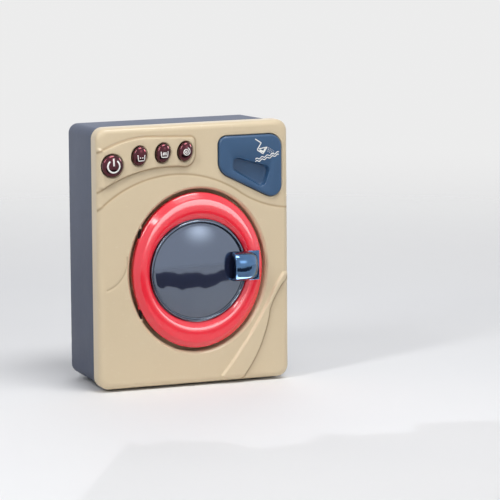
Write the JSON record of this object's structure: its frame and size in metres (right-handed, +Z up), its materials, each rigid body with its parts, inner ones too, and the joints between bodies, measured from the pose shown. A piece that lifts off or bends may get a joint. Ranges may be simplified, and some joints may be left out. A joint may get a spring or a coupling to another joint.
{
  "type": "toy washing machine",
  "caption": "Front-loading toy washing machine: cream front, red oval door with smoked window, blue drawer and handle, press buttons, geared drum.",
  "frame": {"origin": "on the surface that the machine stands on, under the middle of its overall box", "axes": "+X to the right seen from the front, +Y to the back, +Z up; the door faces -Y"},
  "size_m": [0.158, 0.093, 0.205],
  "materials": {
    "cream_plastic": "satin moulded plastic, cream",
    "navy_plastic": "fine-grained moulded plastic, navy",
    "red_plastic": "high gloss moulded plastic, coral red",
    "smoked_window": "clear smoked plastic",
    "blue_chrome": "blue plated plastic",
    "maroon_chrome": "polished dark red plating",
    "blue_plastic": "gloss moulded plastic, blue",
    "grey_plastic": "moulded plastic, grey",
    "white_plastic": "natural white plastic",
    "black_plastic": "black plastic",
    "rubber": "soft dark rubber",
    "steel": "zinc plated steel",
    "brass": "turned brass",
    "board": "solder masked fibre board",
    "lamp": "clear lamp body",
    "speaker_card": "steel basket and paper cone",
    "wire": "soft insulated wire, red and black",
    "cell": "plain printed steel can"
  },
  "bodies": {
    "case": {"front_shell": "cream_plastic", "rear_shell": "navy_plastic", "battery_cover": "navy_plastic", "drawer_housing": "grey_plastic", "gear_plate": "white_plastic", "gear_cover": "white_plastic", "drum_seal": "black_plastic", "speaker_clamp": "black_plastic", "push_switches": "black_plastic", "sound_chip": "black_plastic", "feet": "rubber", "case_screws": "steel", "idler_pin": "steel", "gear_plate_screws": "steel", "gear_cover_screws": "steel", "board_screws": "steel", "housing_screws": "steel", "battery_contacts": "steel", "cover_screw": "steel", "motor": "steel", "drum_bush": "brass", "circuit_board": "board", "drum_lamp": "lamp", "loudspeaker": "speaker_card", "wiring": "wire", "battery_cells": "cell"},
    "door": {"door_ring": "red_plastic", "door_window": "smoked_window", "window_retainer": "grey_plastic", "retainer_screws": "steel", "hinge_pins": "steel", "handle_pin": "steel", "handle_spring": "steel"},
    "handle": {"door_handle": "blue_chrome"},
    "drawer": {"drawer": "blue_plastic"},
    "power_button": {"power_button": "maroon_chrome"},
    "wash_button": {"wash_button": "maroon_chrome"},
    "rinse_button": {"rinse_button": "maroon_chrome"},
    "spin_button": {"spin_button": "maroon_chrome"},
    "drum": {"drum": "grey_plastic", "drum_shaft": "steel", "drum_gear": "white_plastic"},
    "idler": {"idler_gear": "white_plastic"},
    "rotor": {"motor_pinion": "brass"}
  },
  "joints": [
    {"name": "door_hinge", "type": "hinge", "parent": "case", "child": "door", "pos_m": [-0.0445, -0.0291, 0.091], "axis": [0, 0, -1], "range_deg": [0, 100]},
    {"name": "handle_pull", "type": "hinge", "parent": "door", "child": "handle", "pos_m": [0.0494, -0.03, 0.093], "axis": [0, 0, 1], "range_deg": [0, 10], "stiffness_Nm_per_rad": 0.05, "springref_deg": -5.73},
    {"name": "drawer_slide", "type": "slide", "parent": "case", "child": "drawer", "axis": [0, -1, 0], "range_m": [0, 0.028]},
    {"name": "power_press", "type": "slide", "parent": "case", "child": "power_button", "axis": [0, 1, 0], "range_m": [0, 0.0012], "stiffness_N_per_m": 400},
    {"name": "wash_press", "type": "slide", "parent": "case", "child": "wash_button", "axis": [0, 1, 0], "range_m": [0, 0.0012], "stiffness_N_per_m": 400},
    {"name": "rinse_press", "type": "slide", "parent": "case", "child": "rinse_button", "axis": [0, 1, 0], "range_m": [0, 0.0012], "stiffness_N_per_m": 400},
    {"name": "spin_press", "type": "slide", "parent": "case", "child": "spin_button", "axis": [0, 1, 0], "range_m": [0, 0.0012], "stiffness_N_per_m": 400},
    {"name": "drum_spin", "type": "hinge", "parent": "case", "child": "drum", "pos_m": [0.003, -0.0145, 0.091], "axis": [0, -1, 0], "continuous": true},
    {"name": "idler_spin", "type": "hinge", "parent": "case", "child": "idler", "pos_m": [0.003, 0.0255, 0.056], "axis": [0, -1, 0], "continuous": true},
    {"name": "motor_spin", "type": "hinge", "parent": "case", "child": "rotor", "pos_m": [0.003, 0.0255, 0.033], "axis": [0, -1, 0], "continuous": true}
  ],
  "couplings": [
    {"joint": "idler_spin", "follows": "drum_spin", "ratio": -6},
    {"joint": "motor_spin", "follows": "drum_spin", "ratio": 21.6}
  ]
}
